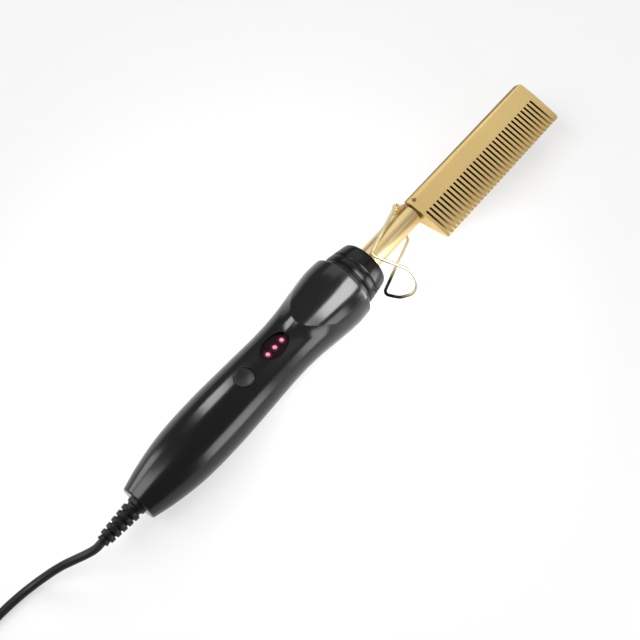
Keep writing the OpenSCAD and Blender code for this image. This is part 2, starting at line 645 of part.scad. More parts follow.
// a flat two-pin plug with round pins, lying beside the coil
plug_l = 35;
plug_w = 26;
plug_t = 14;
plug_c = 3;            // chamfer along its four edges
plug_at = [-118, -53, plug_t / 2];
cord_seat = 6;         // how deep the cord's end and the pins sit in the plug
pin_seat = 10;
pin_r = 2;
pin_l = 19;
pin_gap = 18.6;        // between the pins' axes
pin_bare = 9;          // the bare metal end; the rest has an insulating sleeve
pin_sleeve_r = 1.7;
pin_root_r = 1.5;
pin_tip = 0.8;         // chamfer at the tip
module plug_body() color("#181818") on_floor() translate(plug_at) difference() {
    rotate([90, 0, 90]) linear_extrude(plug_l) chamfered(plug_w, plug_t, plug_c);
    rod_x(cord_r + fit, -past, cord_seat);
    for (s = [-1, 1]) translate([0, s * pin_gap / 2, 0]) rod_x(pin_root_r, plug_l - pin_seat, plug_l + past);
}
module plug_pins() color("gold") on_floor() translate(plug_at)
    for (s = [-1, 1]) translate([plug_l, s * pin_gap / 2, 0]) along_x() rotate_extrude() polygon([
        [0, -pin_seat], [pin_root_r, -pin_seat], [pin_root_r, 0], [pin_sleeve_r, 0],
        [pin_sleeve_r, pin_l - pin_bare], [pin_r, pin_l - pin_bare], [pin_r, pin_l - pin_tip],
        [pin_r - pin_tip, pin_l], [0, pin_l]]);

in_frame() upper_shell();
in_frame() lower_shell();
in_frame() shell_screws();
in_frame() front_collar();
in_frame() insulator_bush();
in_frame() tube_lock_plate();
in_frame() neck_tube();
in_frame() insulating_sleeve();
in_frame() comb_head();
in_frame() head_screw();
in_frame() heater_rod();
in_frame() thermistor();
in_frame() heater_leads();
in_frame() stand_bracket();
in_frame() wire_stand();
in_frame() led_window();
in_frame() led_lamps();
in_frame() circuit_board();
in_frame() board_screws();
in_frame() tact_switch();
in_frame() switch_plunger();
in_frame() power_button();
in_frame() triac();
in_frame() film_capacitor();
in_frame() fuse();
in_frame() control_chip();
in_frame() cord_boot();
in_frame() cord_clamp();
in_frame() clamp_screws();
in_frame() supply_leads();
power_cord();
cord_coil();
cord_tie();
cord_tail();
plug_body();
plug_pins();
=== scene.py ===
"""Looks of an electric hot comb: a gold-finished heated comb with a folding wire stand on
a black moulded handle.  Metres, in the part's own frame: +X runs to the comb's far end,
+Z is the side with the button and lamps, the teeth point to -Y and the floor is z = 0."""

import json
import math

import bpy
from mathutils import Matrix, Vector

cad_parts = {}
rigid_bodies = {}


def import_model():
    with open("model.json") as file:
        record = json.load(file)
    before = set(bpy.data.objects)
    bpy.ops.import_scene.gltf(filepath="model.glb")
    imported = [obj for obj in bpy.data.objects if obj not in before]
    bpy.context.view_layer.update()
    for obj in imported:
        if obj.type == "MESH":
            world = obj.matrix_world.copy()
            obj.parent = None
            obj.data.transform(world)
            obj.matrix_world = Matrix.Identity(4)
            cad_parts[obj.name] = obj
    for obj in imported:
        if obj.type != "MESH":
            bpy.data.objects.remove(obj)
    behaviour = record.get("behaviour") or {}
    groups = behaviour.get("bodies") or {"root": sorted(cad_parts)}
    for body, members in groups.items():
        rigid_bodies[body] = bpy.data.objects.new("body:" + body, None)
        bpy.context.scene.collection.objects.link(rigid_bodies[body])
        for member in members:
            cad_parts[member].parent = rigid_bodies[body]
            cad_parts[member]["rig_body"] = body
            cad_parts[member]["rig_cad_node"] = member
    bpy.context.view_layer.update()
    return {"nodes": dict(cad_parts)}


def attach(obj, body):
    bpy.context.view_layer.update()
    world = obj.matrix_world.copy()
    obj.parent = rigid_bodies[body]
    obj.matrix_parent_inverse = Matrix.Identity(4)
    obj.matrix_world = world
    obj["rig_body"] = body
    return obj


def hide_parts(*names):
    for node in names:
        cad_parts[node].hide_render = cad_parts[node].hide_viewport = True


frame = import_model()


# ---------------------------------------------------------------- camera
# A product view from above the cord end, turned so that the tool lies across the
# picture from corner to corner.
target = Vector((-0.008356, -0.003059, 0.015))
azimuth, elevation, roll = math.radians(-50.77), math.radians(64.33), math.radians(0.99)
distance = 0.48003
back = Vector((math.sin(azimuth) * math.cos(elevation),
               -math.cos(azimuth) * math.cos(elevation), math.sin(elevation)))
lens = bpy.data.cameras.new("product_view")
lens.sensor_width = 36
lens.lens = 57.78
lens.clip_start, lens.clip_end = 0.01, 20
camera = bpy.data.objects.new("product_view", lens)
bpy.context.scene.collection.objects.link(camera)
look = (-back).to_track_quat("-Z", "Y").to_matrix().to_4x4() @ Matrix.Rotation(roll, 4, "Z")
camera.matrix_world = Matrix.Translation(target + distance * back) @ look
bpy.context.scene.camera = camera
bpy.context.scene.view_settings.view_transform = "Standard"


# ---------------------------------------------------------------- mains lead
# A round black PVC lead, 4 mm thick, moulded into the strain relief at the handle.  The
# length beyond the first 100 mm is wound into a neat round coil for storage.
MM = 0.001
rear_x = 126            # mm from the handle's rear end forward to the part's origin
cord_r = 2
# its points from the boot to the coil: mm in front of the handle's rear end, to the side
# and over the floor
route = [(-19.5, 0, 15), (-22, 0, 15), (-25, 0, 15), (-29, 1.4, 14.4), (-34, 4.2, 12.4),
         (-40, 7.8, 9), (-47, 11, 5), (-54, 13.2, 2.6), (-61, 14.4, 2), (-70, 15, 2),
         (-90, 15, 2), (-101, 15, 2)]
coil_middle = (-114, -11)
# the radius and the height of each turn of the coil, from the first to the last
lanes = [(26, 2), (22, 2), (18, 2), (18, 6), (22, 6), (26, 6), (26, 10), (22, 10), (18, 10),
         (18, 14), (22, 14), (26, 14)]
coil_start, coil_end, coil_step = 90, 4140, 10      # degrees turned round the coil
changes = [410, 770, 1100, 1430, 1790, 2120, 2450, 2810, 3140, 3470, 3830]
change = 30             # the cord reaches its next lane at changes, and takes this long
# from the coil to the plug
tail = [(-140, -20, 13.4), (-139, -30, 11), (-135, -41, 9), (-128, -50, 7.4),
        (-121, -53, 7), (-115, -53, 7)]


def floor_place(x, y, z):
    """A point x mm in front of the handle's rear end, y to the side and z over the floor."""
    return Vector((x - rear_x, y, z)) * MM


def ease(t):
    """A smooth step from 0 to 1."""
    t = min(max(t, 0), 1)
    return t * t * (3 - 2 * t)


def coil_point(angle):
    """Where the cord is after it has turned round the coil to that angle, in degrees."""
    radius, height = lanes[0]
    for end, (r, h) in zip(changes, lanes[1:]):
        part = ease((angle - end + change) / change)
        radius, height = radius + part * (r - radius), height + part * (h - height)
    a = math.radians(angle)
    return (coil_middle[0] + radius * math.cos(a), coil_middle[1] + radius * math.sin(a), height)


coil = [coil_point(a) for a in range(coil_start, coil_end + 1, coil_step)]
lead_points = [floor_place(*p) for p in route + coil + tail]
lead_curve = bpy.data.curves.new("mains_lead", "CURVE")
lead_curve.dimensions = "3D"
lead_curve.bevel_depth = cord_r * MM
lead_curve.bevel_resolution = 3
lead_curve.resolution_u = 3
lead_curve.use_fill_caps = True
spline = lead_curve.splines.new("BEZIER")
spline.bezier_points.add(len(lead_points) - 1)
for knot, place in zip(spline.bezier_points, lead_points):
    knot.co = place
    knot.handle_left_type = knot.handle_right_type = "AUTO"
lead = bpy.data.objects.new("mains_lead", lead_curve)
bpy.context.scene.collection.objects.link(lead)


def span(node, low, high, out_low=0, out_high=1):
    """Sets the ends of a Map Range node: what goes in and what comes out."""
    node.inputs["From Min"].default_value = low
    node.inputs["From Max"].default_value = high
    node.inputs["To Min"].default_value = out_low
    node.inputs["To Max"].default_value = out_high


def finish(name, colour, metallic=0, rough=(0.3, 0.4), specular=0.5, mottle=0.08, cloud=60,
           grain=1500, depth=0.00001, stretch=(1, 1, 1)):
    """A material whose colour and roughness drift a little over the piece, with a fine
    grain.  cloud and grain are the two noises' scales per metre, depth is in metres."""
    material = bpy.data.materials.new(name)
    material.use_nodes = True
    nodes, links = material.node_tree.nodes, material.node_tree.links
    surface = nodes["Principled BSDF"]
    surface.inputs["Metallic"].default_value = metallic
    surface.inputs["Specular IOR Level"].default_value = specular
    place = nodes.new("ShaderNodeTexCoord")
    turn = nodes.new("ShaderNodeMapping")
    turn.inputs["Scale"].default_value = stretch
    links.new(place.outputs["Object"], turn.inputs["Vector"])
    drift = nodes.new("ShaderNodeTexNoise")
    drift.inputs["Scale"].default_value = cloud
    drift.inputs["Detail"].default_value = 3
    links.new(turn.outputs["Vector"], drift.inputs["Vector"])
    tint = nodes.new("ShaderNodeMix")
    tint.data_type = "RGBA"
    tint.inputs[6].default_value = (*[c * (1 - mottle) for c in colour], 1)
    tint.inputs[7].default_value = (*[min(c * (1 + mottle), 1) for c in colour], 1)
    links.new(drift.outputs["Fac"], tint.inputs[0])
    links.new(tint.outputs[2], surface.inputs["Base Color"])
    gloss = nodes.new("ShaderNodeMapRange")
    span(gloss, 0.3, 0.7, *rough)       # the noise seldom leaves 0.3 to 0.7
    links.new(drift.outputs["Fac"], gloss.inputs["Value"])
    links.new(gloss.outputs["Result"], surface.inputs["Roughness"])
    speck = nodes.new("ShaderNodeTexNoise")
    speck.inputs["Scale"].default_value = grain
    speck.inputs["Detail"].default_value = 2
    links.new(turn.outputs["Vector"], speck.inputs["Vector"])
    bump = nodes.new("ShaderNodeBump")
    bump.inputs["Distance"].default_value = depth
    bump.inputs["Strength"].default_value = 0.6
    links.new(speck.outputs["Fac"], bump.inputs["Height"])
    links.new(bump.outputs["Normal"], surface.inputs["Normal"])
    return material


def wear(piece, material):
    """Gives a piece that material and no other."""
    piece.data.materials.clear()
    piece.data.materials.append(material)


cord_black = finish("cord_black_pvc", (0.012, 0.012, 0.012), rough=(0.34, 0.46), specular=0.3,
                    cloud=90, grain=900, depth=0.00002)
wear(lead, cord_black)
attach(lead, "comb_body")
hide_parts("power_cord", "cord_coil", "cord_tail")


# ---------------------------------------------------------------- coil tie
# A soft rubber strap round the coil, closed on itself on top.  It is the part's own
# strap with its edges rounded.
def deselect():
    """Leaves edit mode and selects nothing."""
    if bpy.context.object and bpy.context.object.mode != "OBJECT":
        bpy.ops.object.mode_set(mode="OBJECT")
    bpy.ops.object.select_all(action="DESELECT")


def pick(piece):
    """Selects that piece alone and makes it the active one."""
    deselect()
    piece.select_set(True)
    bpy.context.view_layer.objects.active = piece


def modify(piece, kind, **values):
    """Adds a modifier with those values and applies it."""
    modifier = piece.modifiers.new(kind.lower(), kind)
    for key, value in values.items():
        setattr(modifier, key, value)
    pick(piece)
    bpy.ops.object.modifier_apply(modifier=modifier.name)


def smooth(piece, angle=30):
    """Shades a piece smooth but for edges sharper than that angle, in degrees."""
    pick(piece)
    bpy.ops.object.shade_smooth_by_angle(angle=math.radians(angle))


def rounded_copy(node, name, edge, angle=30, steps=2, flat=1, soften=None):
    """A copy of a CAD node, with its facets joined into faces and its edges that are sharper
    than angle rounded by edge mm.  soften is called first, to round some of them further."""
    pick(frame["nodes"][node])
    bpy.ops.object.duplicate()
    piece = bpy.context.object
    piece.name = piece.data.name = name
    piece.parent = None
    for key in ("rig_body", "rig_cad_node"):      # the copy is a piece of its own
        if key in piece:
            del piece[key]
    pick(piece)
    bpy.ops.object.mode_set(mode="EDIT")
    bpy.ops.mesh.select_all(action="SELECT")
    bpy.ops.mesh.remove_doubles(threshold=0.000002)
    bpy.ops.mesh.dissolve_limited(angle_limit=math.radians(flat))
    bpy.ops.object.mode_set(mode="OBJECT")
    if soften:
        soften(piece)
    modify(piece, "BEVEL", width=edge * MM, segments=steps, limit_method="ANGLE",
           angle_limit=math.radians(angle))
    smooth(piece, angle)
    modify(piece, "WEIGHTED_NORMAL", keep_sharp=True)
    return piece


tie = rounded_copy("cord_tie", "coil_tie", edge=0.25)
wear(tie, finish("tie_rubber", (0.03, 0.03, 0.032), rough=(0.55, 0.7), specular=0.25,
                 grain=2200, depth=0.00004))
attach(tie, "comb_body")
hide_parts("cord_tie")


# ---------------------------------------------------------------- plug
# A flat two-pin plug moulded in the same PVC, with round pins: bare metal ends and black
# insulating sleeves next to the body.
sleeve_end = -73        # in front of the handle's rear end, mm, as all places along the tool
hair = 0.05             # takes in the faces that lie right on such a place
plug = rounded_copy("plug_body", "plug_moulding", edge=1.1, steps=3)
wear(plug, cord_black)
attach(plug, "comb_body")
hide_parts("plug_body")

pins = rounded_copy("plug_pins", "plug_contacts", edge=0.12)
wear(pins, finish("pin_metal", (0.62, 0.6, 0.56), metallic=1, rough=(0.22, 0.32), mottle=0.05,
                  cloud=400, grain=4000, depth=0.000004))
pins.data.materials.append(cord_black)


def from_rear(point):
    """How far in front of the handle's rear end a point of a mesh is, in mm."""
    return point.x / MM + rear_x


for face in pins.data.polygons:
    face.material_index = 1 if from_rear(face.center) < sleeve_end + hair else 0
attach(pins, "comb_body")
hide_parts("plug_pins")


# ---------------------------------------------------------------- strain relief
# A tapered boot of soft black rubber with five ribs; the slots that let the real one bend
# are not cut.  Its neck passes through the handle's rear wall.
axis_h = 15             # the tool's axis over the floor


def tool_place(x, y=0, z=0):
    """A point x mm in front of the handle's rear end, on or beside the tool's axis."""
    return Vector((x - rear_x, y, z + axis_h)) * MM


def lathe(name, rings, sides=64, closed=False, upright=None):
    """A turned piece: a circle across the tool's axis, extruded and scaled from ring to
    ring.  A ring is its distance from the handle's rear end and its radius; on an upright
    piece, which stands on the axis at the place given, it is the height and the radius."""
    def middle(distance):
        return tool_place(upright, 0, distance) if upright else tool_place(distance)

    deselect()
    x, r = rings[0]
    bpy.ops.mesh.primitive_circle_add(vertices=sides, radius=r * MM, location=middle(x),
                                      rotation=(0, 0 if upright else math.pi / 2, 0))
    piece = bpy.context.object
    piece.name = piece.data.name = name
    bpy.ops.object.transform_apply(location=True, rotation=True, scale=True)
    bpy.ops.object.mode_set(mode="EDIT")
    bpy.ops.mesh.select_mode(type="VERT")
    bpy.ops.mesh.select_all(action="SELECT")
    for next_x, next_r in rings[1:]:
        scale = next_r / r
        move = {"value": middle(next_x) - middle(x)}
        bpy.ops.mesh.extrude_region_move(TRANSFORM_OT_translate=move)
        bpy.ops.transform.resize(value=(scale, scale, 1) if upright else (1, scale, scale),
                                 center_override=middle(next_x))
        x, r = next_x, next_r
    bpy.ops.mesh.select_all(action="SELECT")
    if closed:
        bpy.ops.mesh.remove_doubles(threshold=0.00001)
    else:
        bpy.ops.mesh.fill_holes(sides=0)
    bpy.ops.mesh.select_all(action="SELECT")
    bpy.ops.mesh.normals_make_consistent(inside=False)
    bpy.ops.object.mode_set(mode="OBJECT")
    return piece


boot_end, boot_front, boot_bore = -21.5, 4.8, 2.02
boot_neck, boot_flange = 4.65, 6.3
ribs, rib_front, rib_pitch = 5, -3.4, 3.3
rib_r, taper = 4.6, 1.3                 # the front rib's radius, less towards the cord
rib_profile = [(-2.65, 1.15), (-2.55, 0.35), (-2.3, 0.1), (-0.6, 0), (-0.25, 0.15),
               (-0.05, 0.6), (0.1, 1.15)]           # along the boot, and down from the rib's top
rings = [(boot_end, boot_bore), (boot_end, 2.7), (boot_end + 0.3, 2.95)]
for i in reversed(range(ribs)):
    x, r = rib_front - rib_pitch * i, rib_r - taper * i / ribs
    rings += [(x + step, r - down) for step, down in rib_profile]
rings += [(-2.3, 3.6), (-1.6, 4.5), (-1.3, boot_neck), (3, boot_neck), (3.05, boot_flange),
          (4.6, boot_flange), (boot_front, 3), (boot_front, boot_bore), (boot_end, boot_bore)]
boot = lathe("strain_relief", rings, sides=48, closed=True)
smooth(boot, 40)
wear(boot, finish("boot_rubber", (0.008, 0.008, 0.008), rough=(0.3, 0.42), specular=0.22,
                  cloud=300, grain=1800, depth=0.00002))
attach(boot, "comb_body")
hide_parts("cord_boot")


# ---------------------------------------------------------------- handle shells
# Two glossy black ABS shells that meet on the tool's middle plane.  They swell to a bulge
# at the front, whose cowl starts from a hollow flare along a U-shaped crease.
handle_l = 138
# the handle's radius along its length
grip = [(0, 8.9), (12, 11.94), (28, 14.4), (48, 15.1), (70, 14.6), (91, 13.9), (105, 14.5),
        (117, 16), (129, 17.4), (138, 17.2)]
rear_rim, rear_round = 8.05, 1.15       # the rims at its ends: where their rounding is
front_rim, front_round = 16.6, 0.6      # centred, and its radius
crease_x, crease_bow = 104.2, 0.076     # on top, and how fast it runs forward down the flanks
crease_r, crease_reach = 16.6, 15
flare, cowl_rise, cowl_run = 8, 1.35, 25
cowl_side = 0.93                        # where the cowl fades out: the sine of that angle
flare_power, cowl_power = 1.6, 1.3
foot, land, front = 80, 3, handle_l - 1.5   # between foot and front the rings lean with it
rest_flat = 15
shell_wall, end_wall, floor_wall = 2.2, 3, 1.9


def arc_rings(x, r, bend, start, stop, steps):
    """Rings along a rounded edge round (x, r), from one angle to another in degrees."""
    angles = [math.radians(start + (stop - start) * k / steps) for k in range(steps + 1)]
    return [(x + bend * math.cos(a), r + bend * math.sin(a)) for a in angles]


def grip_radius(x):
    """The grip's radius, on the same smooth line through its points as the part's."""
    i = max(k for k in range(len(grip) - 1) if grip[k][0] <= x or k == 0)
    a, b, c, d = (grip[min(max(i + k, 0), len(grip) - 1)] for k in (-1, 0, 1, 2))
    low, high = 0.0, 1.0
    for _ in range(30):
        t = (low + high) / 2
        at = [0.5 * (2 * b[k] + (c[k] - a[k]) * t + (2 * a[k] - 5 * b[k] + 4 * c[k] - d[k]) * t * t
                     + (3 * b[k] - a[k] - 3 * c[k] + d[k]) * t ** 3) for k in (0, 1)]
        low, high = (t, high) if at[0] < x else (low, t)
    return at[1]


def cowl(x, side):
    """Where a ring that crosses the top at x runs on the flank, and the radius there.
    side is the sine of the angle from the top."""
    crease = crease_x + crease_bow * min(crease_r * abs(side), crease_reach) ** 2
    if foot < x < crease_x - flare:
        x = foot + (x - foot) * (crease - flare - foot) / (crease_x - flare - foot)
    elif crease_x - flare <= x <= crease_x + land:
        x += crease - crease_x
    elif crease_x + land < x < front:
        x = front - (front - x) * (front - crease - land) / (front - crease_x - land)
    rise = cowl_rise * max(0, 1 - (side / cowl_side) ** 2)
    past = x - crease
    if past < 0:
        rise *= max(0, 1 + past / flare) ** flare_power
    else:
        rise *= max(0, 1 - past / cowl_run) ** cowl_power
    return x, grip_radius(x) + rise


# where its rings lie, close together at the crease
rows = [2, 3.5, 6, *range(9, 80, 4), 80, 84, 88, 91, 93.5, 95.5, 96.4, 97.2, 98.2, 99.5, 101,
        102.3, 103.3, 103.9, 104.2, 104.5, 105.2, 107.2, 109.5, 112, 115, 118, 121, 124, 127,
        130, 132, 134, 135.5, 136.5]
outer = arc_rings(rear_round, rear_rim, rear_round, 180, 95, 9)
outer += [(x, grip_radius(x)) for x in rows]
outer += arc_rings(handle_l - front_round, front_rim, front_round, 85, 0, 8)
form = lathe("handle_form", outer, sides=96)
for point in form.data.vertices:
    x, y, z = from_rear(point.co), point.co.y / MM, point.co.z / MM - axis_h
    out = math.hypot(y, z)
    if 1.5 < x < handle_l - 1 and out > 1:          # the rims and the end faces stay
        x, r = cowl(x, y / out)
        point.co = tool_place(x, y * r / out, z * r / out)
within = [(x, grip_radius(x) - shell_wall) for x in [end_wall, *rows] if x >= end_wall]
within.append((handle_l + 2, grip_radius(handle_l - 0.1) - shell_wall))
hollow = lathe("handle_hollow", within, sides=64)
rear_hole_r = boot_neck + 0.07
rear_hole = lathe("rear_hole", [(-1, rear_hole_r), (end_wall + 1, rear_hole_r)], sides=48)


def part_of(source, name, low, high):
    """The slice of a closed piece between two heights over or under the tool's axis."""
    pick(source)
    bpy.ops.object.duplicate()
    piece = bpy.context.object
    piece.name = piece.data.name = name
    bpy.ops.object.mode_set(mode="EDIT")
    for height, above in ((low, True), (high, False)):
        bpy.ops.mesh.select_all(action="SELECT")
        bpy.ops.mesh.bisect(plane_co=tool_place(0, 0, height), plane_no=(0, 0, 1), use_fill=True,
                            clear_inner=above, clear_outer=not above, threshold=0.000005)
    bpy.ops.object.mode_set(mode="OBJECT")
    return piece


def cutter(name, radius, place, low, high, sides=64, long=1):
    """A round post along Z through that place, long times longer along X than across."""
    deselect()
    middle = tool_place(place[0], place[1], (low + high) / 2)
    bpy.ops.mesh.primitive_cylinder_add(vertices=sides, radius=radius * MM,
                                        depth=(high - low) * MM, location=middle)
    post = bpy.context.object
    post.name = name
    bpy.ops.object.transform_apply(location=True, rotation=True, scale=True)
    bpy.ops.object.mode_set(mode="EDIT")
    bpy.ops.mesh.select_all(action="SELECT")
    bpy.ops.transform.resize(value=(long, 1, 1), center_override=middle)
    bpy.ops.object.mode_set(mode="OBJECT")
    return post


def cut(piece, tool):
    """Cuts a tool's shape out of a piece and throws the tool away."""
    modify(piece, "BOOLEAN", object=tool, operation="DIFFERENCE", solver="EXACT")
    bpy.data.objects.remove(tool)


button_x, button_r, button_gap = 69.2, 4.6, 0.3
lamp_x, lamp_pitch = 89.6, 4.7
window_l, window_w = 16.2, 10.2
screws = [(22, -6.8), (22, 6.8), (117, -9), (117, 9)]
boss_r, well_r, well_top = 3.7, 2.75, -7
over, under = 40, -20                   # heights well clear of the shells
through = (4, 30)                       # a post that goes through the top wall alone
shell_black = finish("shell_black_abs", (0.0045, 0.0045, 0.0045), rough=(0.16, 0.21),
                     specular=0.4, mottle=0.2, cloud=25, grain=700, depth=0.000004)

upper = part_of(form, "upper_shell_moulding", 0, over)
cut(upper, part_of(hollow, "upper_hollow", -5, over))
cut(upper, cutter("window_cut", window_w / 2, (lamp_x, 0), *through, long=window_l / window_w))
cut(upper, cutter("button_cut", button_r + button_gap, (button_x, 0), *through))
lower = part_of(form, "lower_shell_moulding", -rest_flat, 0)
room = part_of(hollow, "lower_hollow", floor_wall - rest_flat, 5)
for place in screws:
    cut(room, cutter("boss", boss_r, place, under, -0.01, sides=32))
cut(lower, room)
for place in screws:
    cut(lower, cutter("well", well_r, place, under, well_top, sides=32))
for piece in (upper, lower):
    cut(piece, part_of(rear_hole, "rear_hole_copy", -10, 10))
for piece in (form, hollow, rear_hole):
    bpy.data.objects.remove(piece)
for piece, node in ((upper, "upper_shell"), (lower, "lower_shell")):
    modify(piece, "BEVEL", width=0.18 * MM, segments=2, limit_method="ANGLE",
           angle_limit=math.radians(50))
    smooth(piece, 11)
    wear(piece, shell_black)
    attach(piece, "comb_body")
    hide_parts(node)


# ---------------------------------------------------------------- front collar
# A ring of the same plastic that plugs into the shells and guides the neck.  Two rounded
# grooves and a raised band run round it.
collar_start, collar_end, collar_wall = 133, 154.2, 2
collar_bore, lip_bore = 10.1, 5.9
stub = [(collar_start, collar_bore), (collar_start, 14.6), (137.9, 14.6)]
first_groove = [(138.02, 14.9), (139.4, 14.85), (140.2, 14.75), (140.5, 14.55), (140.7, 14.2),
                (140.85, 14), (141.1, 14), (141.3, 14.15), (141.6, 14.45)]
band = [(142, 14.5), (143.6, 14.45), (144.8, 14.3)]
second_groove = [(145.25, 14.15), (145.5, 13.8), (145.7, 13.55), (145.95, 13.55), (146.15, 13.8),
                 (146.45, 13.95)]
nose = [(147, 13.9), (150, 13.4), (152.8, 12.9), (153.4, 12.7), (153.9, 12.4), (154.15, 12),
        (collar_end, 11.6), (collar_end, lip_bore)]
bore = [(collar_end - collar_wall, lip_bore), (collar_end - collar_wall, collar_bore),
        (collar_start, collar_bore)]
rings = stub + first_groove + band + second_groove + nose + bore
collar = lathe("front_collar_moulding", rings, sides=96, closed=True)
smooth(collar, 35)
wear(collar, finish("collar_black", (0.0015, 0.0015, 0.0015), rough=(0.22, 0.3), specular=0.2,
                    mottle=0.2, cloud=60, grain=900, depth=0.000005))
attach(collar, "comb_body")
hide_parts("front_collar")


# ---------------------------------------------------------------- neck tube
# A drawn steel tube with a satin gold finish that carries the comb on a spigot.  Fine
# drawing lines run along it.
gold_tube = finish("satin_gold_tube", (0.7, 0.54, 0.27), metallic=1, rough=(0.3, 0.38),
                   mottle=0.04, cloud=40, grain=2500, depth=0.000006, stretch=(0.04, 1, 1))
tube_start, tube_end, tube_r, tube_bore = 124, 190.7, 5.85, 4.9
spigot_end, spigot_r, spigot_bore = 203.3, 3.6, 2.6
step_wall = 1.8                         # of the shoulder between tube and spigot
rings = [(tube_start, tube_bore), (tube_start, 5.7), (tube_start + 0.2, tube_r), (190.1, tube_r),
         (190.5, 5.7), (tube_end, 5.4), (tube_end, spigot_r), (spigot_end, spigot_r),
         (spigot_end, spigot_bore), (tube_end - step_wall, spigot_bore),
         (tube_end - step_wall, tube_bore), (tube_start, tube_bore)]
neck = lathe("neck_tube_drawn", rings, sides=96, closed=True)
smooth(neck, 35)
wear(neck, gold_tube)
# Painted shade: the tube's end face and the spigot, down in the gap under the comb's near end, are
# painted dark brown.
neck.data.materials.append(finish("spigot_painted_shade", (0.09, 0.045, 0.015), metallic=1, rough=(0.4, 0.5),
                                  mottle=0.3, cloud=600, grain=3000, depth=0.00001))
for face in neck.data.polygons:
    face.material_index = 1 if from_rear(face.center) > tube_end - hair else 0
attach(neck, "comb_body")
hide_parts("neck_tube")


# ---------------------------------------------------------------- comb head
# A milled wedge of light alloy with a gold finish: a thick spine that thins to the tooth
# tips, with 33 narrow slots.  A set screw at its near end grips the neck.
gold_head = finish("satin_gold_head", (0.7, 0.51, 0.215), metallic=1, rough=(0.3, 0.38),
                   mottle=0.035, cloud=30, grain=1800, depth=0.000008)
root_y = -6                             # where the slots end
slots = (194, 285)                      # the stretch of the head that has slots
grub, grub_r, grub_heights = (195.5, 2.4), 1.2, (0.5, 8)
spine_back, spine_edge = 5.6, 4.2       # where a dark line of painted shade runs along its edges, across the head and up from the axis
spine_rounds = ((3, 4.5, 1.6), (5.4, 6, 0.5))       # edges between these, and their rounding


def choose(piece, kind, test):
    """Selects the faces or edges of a piece that pass a test, and opens it for editing."""
    pick(piece)
    bpy.ops.object.mode_set(mode="EDIT")
    bpy.ops.mesh.select_mode(type=kind)
    bpy.ops.mesh.select_all(action="DESELECT")
    bpy.ops.object.mode_set(mode="OBJECT")
    for part in piece.data.polygons if kind == "FACE" else piece.data.edges:
        part.select = test(part)
    bpy.ops.object.mode_set(mode="EDIT")


def round_spine(piece):
    """Rounds the four long edges of the spine.  The set screw's hole is closed before,
    because the rounding runs over it, and is drilled again after."""
    def in_hole(face):
        away = math.hypot(from_rear(face.center) - grub[0], face.center.y / MM - grub[1])
        upright = abs(face.normal.z) < 0.02
        return away < grub_r + 0.1 and upright and face.center.z / MM > axis_h + 1

    choose(piece, "FACE", in_hole)
    bpy.ops.mesh.delete(type="FACE")
    bpy.ops.mesh.select_all(action="SELECT")
    bpy.ops.mesh.fill_holes(sides=0)
    bpy.ops.mesh.dissolve_limited(angle_limit=math.radians(1))
    bpy.ops.object.mode_set(mode="OBJECT")
    for low, high, width in spine_rounds:
        def along_spine(edge):
            a, b = (piece.data.vertices[k].co / MM for k in edge.vertices)
            outside = min(abs(a.z - axis_h), abs(b.z - axis_h)) > 3.5
            return abs(a.x - b.x) > 50 and low < min(a.y, b.y) < high and outside

        choose(piece, "EDGE", along_spine)
        bpy.ops.mesh.bevel(offset=width * MM, offset_type="OFFSET", segments=5, affect="EDGES")
        bpy.ops.mesh.select_mode(type="VERT")
        bpy.ops.object.mode_set(mode="OBJECT")
    cut(piece, cutter("screw_hole", grub_r, grub, *grub_heights, sides=48))


def paint_shade(material, place, near, far, colour, along=(1, 1, 1)):
    """Paints shade into a material: darkens it to that colour round a place, fully up to near
    and not beyond far, in metres.  along weighs the three axes, and one weighed 0 doesn't count."""
    nodes, links = material.node_tree.nodes, material.node_tree.links
    where = nodes.new("ShaderNodeTexCoord")
    apart = nodes.new("ShaderNodeVectorMath")
    apart.operation = "SUBTRACT"
    apart.inputs[1].default_value = place
    links.new(where.outputs["Object"], apart.inputs[0])
    weighed = nodes.new("ShaderNodeVectorMath")
    weighed.operation = "MULTIPLY"
    weighed.inputs[1].default_value = along
    links.new(apart.outputs["Vector"], weighed.inputs[0])
    length = nodes.new("ShaderNodeVectorMath")
    length.operation = "LENGTH"
    links.new(weighed.outputs["Vector"], length.inputs[0])
    fade = nodes.new("ShaderNodeMapRange")
    fade.interpolation_type = "SMOOTHSTEP"
    span(fade, near, far)
    links.new(length.outputs["Value"], fade.inputs["Value"])
    surface = nodes["Principled BSDF"]
    own = surface.inputs["Base Color"].links[0].from_socket
    both = nodes.new("ShaderNodeMix")
    both.data_type = "RGBA"
    both.inputs[6].default_value = (*colour, 1)
    links.new(fade.outputs["Result"], both.inputs[0])
    links.new(own, both.inputs[7])
    links.new(both.outputs[2], surface.inputs["Base Color"])


# Painted shade: a thin dark line along the spine's two outer edges, darkening the gold's
# reflection there.
for side in (1, -1):
    paint_shade(gold_head, tool_place(0, spine_back, side * spine_edge), near=0.0004, far=0.001,
            colour=(0.14, 0.125, 0.05), along=(0, 1, 1))
head = rounded_copy("comb_head", "comb_head_milled", edge=0.08, angle=35, soften=round_spine)
wear(head, gold_head)
# The slots' gold is darker than the faces: painted shade for the dark inside of the narrow slots.
slot_gold_painted_shade = finish("slot_gold_painted_shade", (0.6, 0.42, 0.17), metallic=1, rough=(0.4, 0.5), mottle=0.08,
                   cloud=200, grain=2500, depth=0.00001)
